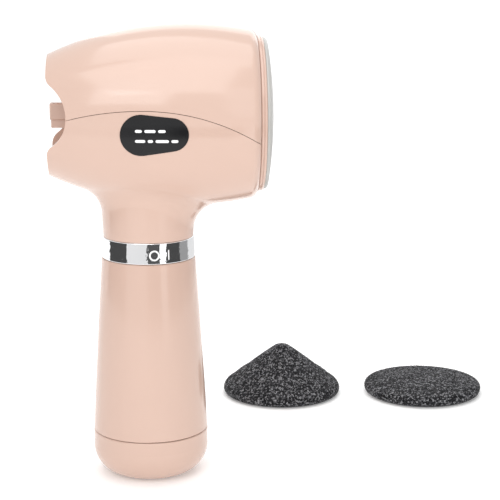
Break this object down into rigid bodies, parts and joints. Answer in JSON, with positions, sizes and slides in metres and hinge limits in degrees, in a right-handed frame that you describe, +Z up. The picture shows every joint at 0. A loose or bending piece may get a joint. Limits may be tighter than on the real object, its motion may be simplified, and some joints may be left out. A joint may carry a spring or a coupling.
{
  "type": "electric callus remover",
  "caption": "Battery handheld foot grinder: barrel-shaped head with guarded drive hub and rear dust drawer on a turned grip, beside two loose abrasive heads.",
  "frame": {"origin": "middle of the flat foot under the battery cap", "axes": "+Z up the grip, +X out of the barrel towards the grinding face, +Y towards the side without the badge"},
  "size_m": [0.1957, 0.1655, 0.1818],
  "materials": {
    "shell_pink": "gloss",
    "guard_grey": "satin translucent",
    "ring_chrome": "mirror",
    "badge_black": "gloss",
    "plastic_white": "matte",
    "plastic_black": "matte",
    "plastic_grey": "matte",
    "steel": "brushed",
    "iron": "dull laminated",
    "magnet": "matte",
    "brass": "satin",
    "cell_sleeve": "gloss sleeve",
    "board_green": "satin",
    "filter_foam": "open foam",
    "seal_rubber": "matte",
    "wire_red": "satin",
    "wire_black": "satin",
    "grit_black": "coarse sparkling grit"
  },
  "bodies": {
    "handset": {"upper_cover": "shell_pink", "main_housing": "shell_pink", "front_bezel": "shell_pink", "handle_tube": "shell_pink", "badge_plate": "badge_black", "switch_board": "board_green", "board_retainer": "plastic_white", "suction_plate": "plastic_white", "spindle_bush": "brass", "idler_pin": "steel", "gearbox_plate": "plastic_black", "gearbox_screws": "steel", "plate_screws": "steel", "motor_screws": "steel", "handle_screws": "steel", "motor_can": "steel", "motor_end_cap": "plastic_black", "motor_magnets": "magnet", "motor_terminals": "brass", "fan_shroud": "plastic_white", "battery_tray": "plastic_black", "battery_cells": "cell_sleeve", "upper_contacts": "steel", "battery_lead_red": "wire_red", "battery_lead_black": "wire_black", "switch_lead": "wire_red"},
    "guard": {"guard_cap": "guard_grey"},
    "dust_drawer": {"dust_cup": "shell_pink", "dust_filter": "filter_foam", "filter_clip": "plastic_white"},
    "switch": {"switch_ring": "ring_chrome", "switch_wiper": "brass"},
    "rotor": {"motor_shaft": "steel", "motor_armature": "iron", "motor_pinion": "brass", "fan_impeller": "plastic_grey"},
    "idler": {"idler_gear": "plastic_white"},
    "spindle": {"drive_spindle": "steel", "output_gear": "plastic_white", "drive_hub": "plastic_black"},
    "carrier": {"contact_carrier": "plastic_black", "lower_contacts": "steel", "contact_springs": "steel"},
    "cap": {"battery_cap": "shell_pink", "carrier_screw": "steel", "cap_seal": "seal_rubber"},
    "flat_head": {"flat_pad_base": "plastic_black", "flat_pad_grit": "grit_black"},
    "cone_head": {"cone_pad_base": "plastic_black", "cone_pad_grit": "grit_black"}
  },
  "joints": [
    {"name": "guard_pull", "type": "slide", "parent": "handset", "child": "guard", "axis": [1, 0, 0], "range_m": [0, 0.035]},
    {"name": "dust_cup_pull", "type": "slide", "parent": "handset", "child": "dust_drawer", "axis": [-1, 0, 0], "range_m": [0, 0.03]},
    {"name": "ring_turn", "type": "hinge", "parent": "handset", "child": "switch", "pos_m": [0, 0, 0.0935], "axis": [0, 0, -1], "range_deg": [0, 17.5]},
    {"name": "motor_spin", "type": "hinge", "parent": "handset", "child": "rotor", "pos_m": [0, 0, 0.146], "axis": [1, 0, 0], "continuous": true},
    {"name": "idler_spin", "type": "hinge", "parent": "handset", "child": "idler", "pos_m": [0.033, 0, 0.158], "axis": [1, 0, 0], "continuous": true},
    {"name": "spindle_spin", "type": "hinge", "parent": "handset", "child": "spindle", "pos_m": [0.04, 0, 0.146], "axis": [1, 0, 0], "continuous": true},
    {"name": "carrier_drop", "type": "slide", "parent": "handset", "child": "carrier", "axis": [0, 0, -1], "range_m": [0, 0.0241]},
    {"name": "cap_turn", "type": "hinge", "parent": "carrier", "child": "cap", "pos_m": [0, 0, 0.01], "axis": [0, 0, -1], "range_deg": [0, 1440]},
    {"name": "flat_head_lift", "type": "slide", "parent": "handset", "child": "flat_head", "axis": [0, 0, 1], "range_m": [0, 0.06]},
    {"name": "cone_head_lift", "type": "slide", "parent": "handset", "child": "cone_head", "axis": [0, 0, 1], "range_m": [0, 0.06]}
  ],
  "couplings": [
    {"joint": "idler_spin", "follows": "motor_spin", "ratio": -0.33333},
    {"joint": "spindle_spin", "follows": "motor_spin", "ratio": 0.13725},
    {"joint": "carrier_drop", "follows": "cap_turn", "m_per_rad": 0.00095493}
  ]
}
